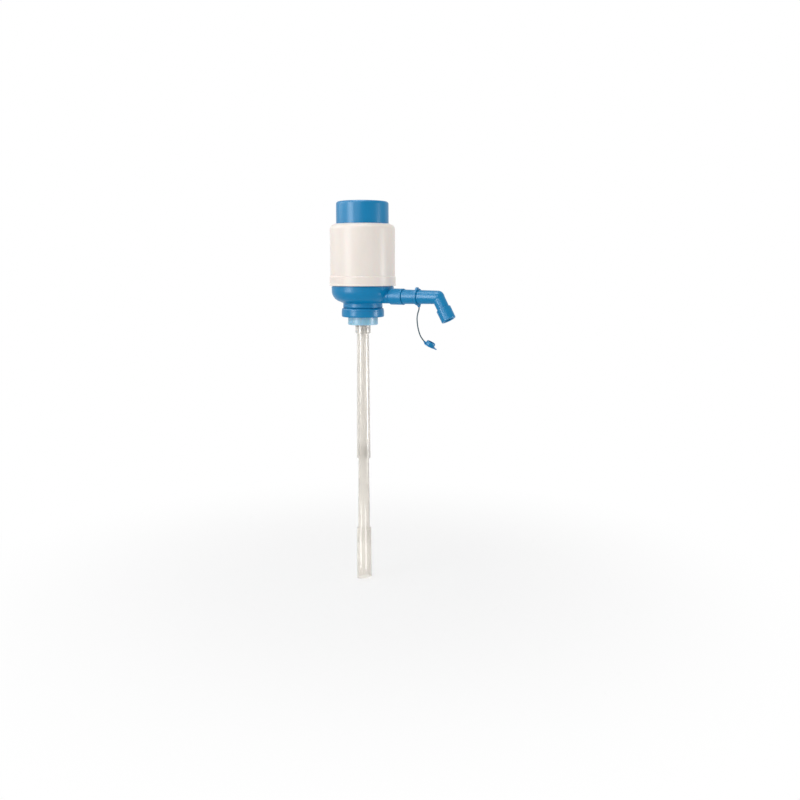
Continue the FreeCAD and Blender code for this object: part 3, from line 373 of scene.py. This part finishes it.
class Finish:
    """A material with one Principled shader and short calls for the nodes that feed it."""

    def __init__(self, name):
        self.material = bpy.data.materials.new(name)
        self.material.use_nodes = True
        self.tree = self.material.node_tree
        self.shader = self.tree.nodes["Principled BSDF"]
        self.coordinates = self.add("ShaderNodeTexCoord").outputs["Object"]

    def add(self, kind, **settings):
        """A new node with the given settings."""
        node = self.tree.nodes.new(kind)
        for name, value in settings.items():
            setattr(node, name, value)
        return node

    def feed(self, socket, value):
        """Join a node's output to a socket, or set the socket's own value."""
        if isinstance(value, bpy.types.NodeSocket):
            self.tree.links.new(value, socket)
        else:
            socket.default_value = value

    def scaled(self, stretch):
        """The piece's own coordinates, stretched along each axis."""
        node = self.add("ShaderNodeMapping")
        self.feed(node.inputs["Vector"], self.coordinates)
        node.inputs["Scale"].default_value = stretch
        return node.outputs["Vector"]

    def noise(self, scale, detail=3.0, rough=0.5, stretch=(1, 1, 1)):
        """A noise pattern, finer for a larger scale, mostly between 0.3 and 0.7."""
        node = self.add("ShaderNodeTexNoise")
        self.feed(node.inputs["Vector"], self.scaled(stretch))
        node.inputs["Scale"].default_value = scale
        node.inputs["Detail"].default_value = detail
        node.inputs["Roughness"].default_value = rough
        return node.outputs["Fac"]

    def range(self, value, low, high, out_low, out_high):
        """A value from low to high as one from out_low to out_high, held at both ends."""
        node = self.add("ShaderNodeMapRange")
        self.feed(node.inputs["Value"], value)
        node.inputs["From Min"].default_value = low
        node.inputs["From Max"].default_value = high
        node.inputs["To Min"].default_value = out_low
        node.inputs["To Max"].default_value = out_high
        return node.outputs["Result"]

    def math(self, operation, first, second):
        """Two values put together by a named operation."""
        node = self.add("ShaderNodeMath", operation=operation)
        self.feed(node.inputs[0], first)
        self.feed(node.inputs[1], second)
        return node.outputs["Value"]

    def mixed(self, share, first, second):
        """A colour between two others, the second's share given."""
        node = self.add("ShaderNodeMix", data_type="RGBA")
        self.feed(node.inputs["Factor"], share)
        self.feed(node.inputs["A"], first)
        self.feed(node.inputs["B"], second)
        return node.outputs["Result"]

    def tinted(self, pattern, low, high, first, second):
        """The first colour where a pattern is low, and the second where it is high."""
        return self.mixed(self.range(pattern, low, high, 0, 1), first, second)

    def edges(self, radius):
        """0 on flats and 1 along sharp edges, over about the given radius."""
        bevel = self.add("ShaderNodeBevel", samples=BEVEL_SAMPLES)
        bevel.inputs["Radius"].default_value = radius
        geometry = self.add("ShaderNodeNewGeometry")
        dot = self.add("ShaderNodeVectorMath", operation="DOT_PRODUCT")
        self.feed(dot.inputs[0], bevel.outputs["Normal"])
        self.feed(dot.inputs[1], geometry.outputs["Normal"])
        return self.range(dot.outputs["Value"], 1.0, SHARP_COSINE, 0.0, 1.0)

    def bump(self, height, distance, below=None):
        """A normal raised by a pattern, over another bump if one is given."""
        node = self.add("ShaderNodeBump")
        node.inputs["Distance"].default_value = distance
        self.feed(node.inputs["Height"], height)
        if below is not None:
            self.feed(node.inputs["Normal"], below)
        return node.outputs["Normal"]

    def set(self, **sockets):
        """Set or feed the shader's sockets; an underscore stands for a space."""
        for name, value in sockets.items():
            self.feed(self.shader.inputs[name.replace("_", " ")], value)


def rgb(red, green, blue):
    """A colour written as 0 to 255 on screen, as the linear value that a shader takes."""
    parts = [channel / 255 for channel in (red, green, blue)]
    linear = [p / 12.92 if p <= 0.04045 else ((p + 0.055) / 1.055) ** 2.4 for p in parts]
    return (*linear, 1.0)


def shaded(colour, factor):
    """A colour made darker or lighter."""
    return (*[min(1.0, channel * factor) for channel in colour[:3]], 1.0)


# ---------------------------------------------------------------- finishes

# Where most of a noise's values lie.
NOISE_SPAN = (0.3, 0.7)
WEAR_WIDTH = 0.4 * MM
WEAR_ROUGHER = 0.12
WEAR_GREY = (0.9, 0.9, 0.9, 1)
RIPPLE_DEPTH = 0.008 * MM
SKIN_DEPTH = 0.0012 * MM


def moulded_plastic(name, colour, roughness, gloss, worn, depth):
    """Glossy moulded plastic: faint colour flow, fine rippled skin, hairlines, worn edges."""
    finish = Finish(name)
    flow = finish.noise(34, detail=5, rough=0.6, stretch=(1, 1, 0.3))
    speck = finish.noise(900, detail=2)
    tone = finish.tinted(flow, *NOISE_SPAN, shaded(colour, 0.965), shaded(colour, 1.03))
    tone = finish.mixed(finish.range(speck, 0.64, 0.8, 0, 0.1), tone, shaded(colour, 1.4))
    pale = finish.mixed(0.35, shaded(colour, 1.15), WEAR_GREY)
    patchy = finish.range(flow, 0.35, 0.65, 0.3, 1)
    edge = finish.math("MULTIPLY", finish.edges(WEAR_WIDTH), patchy)
    finish.set(Base_Color=finish.mixed(finish.math("MULTIPLY", edge, worn), tone, pale))
    smear = finish.noise(60, detail=3, rough=0.5, stretch=(1, 1, 0.5))
    hairlines = finish.noise(190, detail=1, stretch=(6, 6, 0.6))
    rough = finish.math(
        "ADD",
        finish.range(smear, *NOISE_SPAN, roughness - 0.01, roughness + 0.03),
        finish.range(hairlines, 0.62, 0.75, 0, 0.025),
    )
    finish.set(
        Roughness=finish.math("ADD", rough, finish.math("MULTIPLY", edge, WEAR_ROUGHER)),
        Specular_IOR_Level=gloss,
    )
    ripple = finish.noise(110, detail=1, rough=0.4)
    skin = finish.noise(2600, detail=1)
    normal = finish.bump(ripple, RIPPLE_DEPTH * depth)
    finish.set(Normal=finish.bump(skin, SKIN_DEPTH * depth, normal))
    return finish


def blue_plastic():
    """The pump's glossy blue polypropylene."""
    return moulded_plastic(
        "blue_plastic", rgb(2, 127, 180), roughness=0.3, gloss=0.2, worn=0.25, depth=1.0
    )


def white_plastic():
    """The housing's warm white polypropylene, a little light let through."""
    finish = moulded_plastic(
        "white_plastic", rgb(240, 230, 222), roughness=0.33, gloss=0.16, worn=0.05, depth=1.2
    )
    finish.set(Subsurface_Weight=0.12, Subsurface_Scale=0.004)
    return finish


def pale_blue_plastic():
    """The seal's soft translucent polyethylene."""
    finish = moulded_plastic(
        "pale_blue_plastic", rgb(144, 196, 222), roughness=0.36, gloss=0.38, worn=0.1, depth=1.0
    )
    finish.set(Subsurface_Weight=0.3, Subsurface_Scale=0.004)
    return finish


def milky_tube():
    """Drawn polyethylene: milky, with fine draw lines down the wall."""
    finish = Finish("clear_tube")
    cloud = finish.noise(18, detail=3, stretch=(1, 1, 0.4))
    lines = finish.noise(1500, detail=2, stretch=(1, 1, 0.004))
    tone = finish.tinted(cloud, *NOISE_SPAN, rgb(231, 228, 223), rgb(239, 236, 231))
    faint_line = finish.range(lines, 0.5, 0.8, 0, 0.25)
    finish.set(
        Base_Color=finish.mixed(faint_line, tone, rgb(220, 217, 211)),
        Roughness=finish.range(cloud, 0.25, 0.75, 0.17, 0.23),
        Transmission_Weight=0.75,
        IOR=1.5,
        Specular_IOR_Level=0.3,
        Normal=finish.bump(lines, 0.002 * MM),
    )
    return finish


def soft_strap():
    """Soft polyethylene: satin, grained along the strap."""
    finish = Finish("soft_strap")
    grain = finish.noise(900, detail=3, stretch=(1, 1, 0.2))
    finish.set(
        Base_Color=finish.tinted(grain, *NOISE_SPAN, rgb(34, 72, 84), rgb(50, 88, 100)),
        Roughness=finish.range(grain, *NOISE_SPAN, 0.38, 0.5),
        Specular_IOR_Level=0.35,
        Subsurface_Weight=0.1,
        Subsurface_Scale=0.001,
        Normal=finish.bump(grain, 0.02 * MM),
    )
    return finish


def bellows_skin():
    """Blow-moulded polyethylene: waxy and slightly clouded."""
    finish = Finish("bellows_plastic")
    cloud = finish.noise(60, detail=4)
    grain = finish.noise(900, detail=3)
    finish.set(
        Base_Color=finish.tinted(cloud, *NOISE_SPAN, rgb(222, 223, 220), rgb(238, 239, 236)),
        Roughness=finish.range(grain, *NOISE_SPAN, 0.42, 0.55),
        Subsurface_Weight=0.4,
        Subsurface_Scale=0.003,
        Normal=finish.bump(grain, 0.02 * MM, finish.bump(cloud, 0.15 * MM)),
    )
    return finish


def spring_steel():
    """Drawn wire: fine lines across the turns and a faint heat tint."""
    finish = Finish("spring_steel")
    drawn = finish.noise(500, detail=4, stretch=(1, 1, 9))
    heat = finish.noise(40, detail=2)
    finish.set(
        Base_Color=finish.tinted(heat, 0.35, 0.7, rgb(188, 189, 190), rgb(172, 168, 160)),
        Metallic=1.0,
        Roughness=finish.range(drawn, *NOISE_SPAN, 0.22, 0.4),
        Normal=finish.bump(drawn, 0.01 * MM),
    )
    return finish


def rubber(name, colour):
    """Satin rubber with a pale bloom on it."""
    finish = Finish(name)
    bloom = finish.noise(120, detail=4)
    grain = finish.noise(1800, detail=2)
    blooming = finish.range(bloom, 0.45, 0.75, 0, 0.5)
    finish.set(
        Base_Color=finish.mixed(blooming, colour, shaded(colour, 1.6)),
        Roughness=finish.range(bloom, *NOISE_SPAN, 0.55, 0.72),
        Normal=finish.bump(grain, 0.012 * MM),
    )
    return finish


def make_finishes():
    """Each material slot of the record with its finish."""
    return {
        "blue_plastic": blue_plastic(),
        "white_plastic": white_plastic(),
        "pale_blue_plastic": pale_blue_plastic(),
        "clear_tube": milky_tube(),
        "soft_strap": soft_strap(),
        "bellows_plastic": bellows_skin(),
        "spring_steel": spring_steel(),
        "dark_rubber": rubber("dark_rubber", rgb(38, 39, 42)),
        "valve_rubber": rubber("valve_rubber", rgb(205, 206, 204)),
    }


def paint(piece, finish):
    """The piece wears this finish alone."""
    piece.data.materials.clear()
    piece.data.materials.append(finish.material)


def finish_cad_nodes(finishes):
    """Every carried-over node takes the finish that the record names for it."""
    slots = {part["node"]: part["material_slot"] for part in frame["record"]["subparts"]}
    for name, node in nodes.items():
        paint(node, finishes[slots[name]])


# ---------------------------------------------------------------- floor and world

FLOOR_RADIUS = 6.0
FLOOR_SEGMENTS = 96
FLOOR_GAP = 0.3 * MM
FLOOR_COLOUR = (0.92, 0.92, 0.92, 1)
# The floor turns from half to fully white between these distances from the pump's axis.
SHADOW_REACH = (0.12, 0.55)
NEAR_WHITE = 0.5
WORLD_LIGHT = 0.8


def seen_directly(tree):
    """1 for rays from the camera, a reflection or glass, and 0 for those that light things."""
    path = tree.nodes.new("ShaderNodeLightPath")
    result = path.outputs["Is Camera Ray"]
    for other in ("Is Glossy Ray", "Is Transmission Ray"):
        either = tree.nodes.new("ShaderNodeMath")
        either.operation = "MAXIMUM"
        tree.links.new(result, either.inputs[0])
        tree.links.new(path.outputs[other], either.inputs[1])
        result = either.outputs[0]
    return result


def floor_material():
    """Partly real near the pump, to hold its shadow, white far off, and clear from below."""
    material = bpy.data.materials.new("floor")
    material.use_nodes = True
    tree = material.node_tree
    tree.nodes.clear()
    add = tree.nodes.new
    link = tree.links.new
    diffuse = add("ShaderNodeBsdfDiffuse")
    diffuse.inputs["Color"].default_value = FLOOR_COLOUR
    reach = add("ShaderNodeVectorMath")
    reach.operation = "LENGTH"
    link(add("ShaderNodeTexCoord").outputs["Object"], reach.inputs[0])
    far = add("ShaderNodeMapRange")
    far.interpolation_type = "SMOOTHSTEP"
    far.inputs["From Min"].default_value, far.inputs["From Max"].default_value = SHADOW_REACH
    far.inputs["To Min"].default_value = NEAR_WHITE
    link(reach.outputs["Value"], far.inputs["Value"])
    share = add("ShaderNodeMath")
    share.operation = "MULTIPLY"
    link(far.outputs["Result"], share.inputs[0])
    link(seen_directly(tree), share.inputs[1])
    surface = add("ShaderNodeMixShader")
    link(share.outputs[0], surface.inputs[0])
    link(diffuse.outputs[0], surface.inputs[1])
    link(add("ShaderNodeEmission").outputs[0], surface.inputs[2])
    below = add("ShaderNodeMixShader")
    link(add("ShaderNodeNewGeometry").outputs["Backfacing"], below.inputs[0])
    link(surface.outputs[0], below.inputs[1])
    link(add("ShaderNodeBsdfTransparent").outputs[0], below.inputs[2])
    link(below.outputs[0], add("ShaderNodeOutputMaterial").inputs["Surface"])
    return material


def make_floor():
    """A round pale floor just under the dip tube's end."""
    low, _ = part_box("dip_tube_lower")
    mesh = bpy.data.meshes.new("floor")
    shape = bmesh.new()
    bmesh.ops.create_circle(
        shape, cap_ends=True, segments=FLOOR_SEGMENTS, radius=FLOOR_RADIUS
    )
    shape.to_mesh(mesh)
    shape.free()
    mesh.materials.append(floor_material())
    floor = bpy.data.objects.new("floor", mesh)
    floor.location = (0, 0, low.z - FLOOR_GAP)
    bpy.context.scene.collection.objects.link(floor)


def make_world():
    """Even soft light; the background itself shows white."""
    world = bpy.data.worlds.new("world")
    bpy.context.scene.world = world
    world.use_nodes = True
    tree = world.node_tree
    background = tree.nodes["Background"]
    strength = tree.nodes.new("ShaderNodeMapRange")
    strength.inputs["To Min"].default_value = WORLD_LIGHT
    strength.inputs["To Max"].default_value = 1.0
    tree.links.new(seen_directly(tree), strength.inputs["Value"])
    tree.links.new(strength.outputs["Result"], background.inputs["Strength"])
    background.inputs["Color"].default_value = (1, 1, 1, 1)


# ---------------------------------------------------------------- lamps

PUMP_CENTRE = Vector((0.02, 0, -0.02))
TUBE_FOOT = Vector((0, 0, -0.287))
STUDIO_DISTANCE = 1.8
TUBE_DISTANCE = 0.045
TUBE_STRIP = (0.02, 0.082)


def make_light(name, azimuth, elevation, distance, size, radiance, centre=PUMP_CENTRE):
    """A soft box of a width and height that faces a centre, unseen by the camera.

    The azimuth is counted from the camera, to its right."""
    width, height = size
    turn = CAMERA_AZIMUTH + math.radians(azimuth)
    rise = math.radians(elevation)
    back = Vector((
        math.sin(turn) * math.cos(rise), -math.cos(turn) * math.cos(rise), math.sin(rise)
    ))
    light = bpy.data.objects.new(name, bpy.data.lights.new(name, "AREA"))
    light.data.shape = "RECTANGLE"
    light.data.size = width
    light.data.size_y = height
    light.data.energy = radiance * math.pi * width * height
    light.location = centre + back * distance
    light.rotation_mode = "QUATERNION"
    light.rotation_quaternion = back.to_track_quat("Z", "Y")
    light.visible_camera = False
    bpy.context.scene.collection.objects.link(light)
    return light


def make_reflector(name, azimuth, elevation, size, radiance,
                   distance=STUDIO_DISTANCE, centre=PUMP_CENTRE):
    """A soft box that lights nothing and shows only as a highlight in gloss."""
    reflector = make_light(name, azimuth, elevation, distance, size, radiance, centre)
    reflector.visible_diffuse = False


def make_lights():
    """Soft light from the left and above, and the highlights of the photograph."""
    make_light("key_light", -55, 25, distance=1.7, size=(0.95, 1.4), radiance=1.12)
    make_light("top_light", -20, 80, distance=1.6, size=(1.2, 1.2), radiance=0.6)
    make_reflector("left_reflector", -94, 26, size=(1.6, 1.25), radiance=5.5)
    make_reflector("tall_reflector", -51, 10, size=(0.7, 1.35), radiance=15.0)
    make_reflector("front_reflector", -20, 27, size=(0.8, 1.35), radiance=5.5)
    make_reflector("top_reflector", -60, 76, size=(1.3, 1.3), radiance=8.5)
    make_reflector("right_reflector", 77, -7, size=(0.1, 0.42), radiance=54.0, distance=0.8)
    for name, azimuth, radiance in (
        ("low_left_reflector", -50, 5.5),
        ("low_right_reflector", 28, 6.5),
    ):
        make_reflector(
            name, azimuth, 0, TUBE_STRIP, radiance, distance=TUBE_DISTANCE, centre=TUBE_FOOT
        )


# ---------------------------------------------------------------- whole scene

make_camera()
strap = make_strap()
bellows = make_bellows()
spring = make_spring()
thread = make_thread()
finishes = make_finishes()
finish_cad_nodes(finishes)
paint(strap, finishes["soft_strap"])
paint(bellows, finishes["bellows_plastic"])
paint(spring, finishes["spring_steel"])
paint(thread, finishes["blue_plastic"])
make_floor()
make_world()
make_lights()
bpy.context.scene.view_settings.view_transform = "Standard"

bpy.context.view_layer.update()
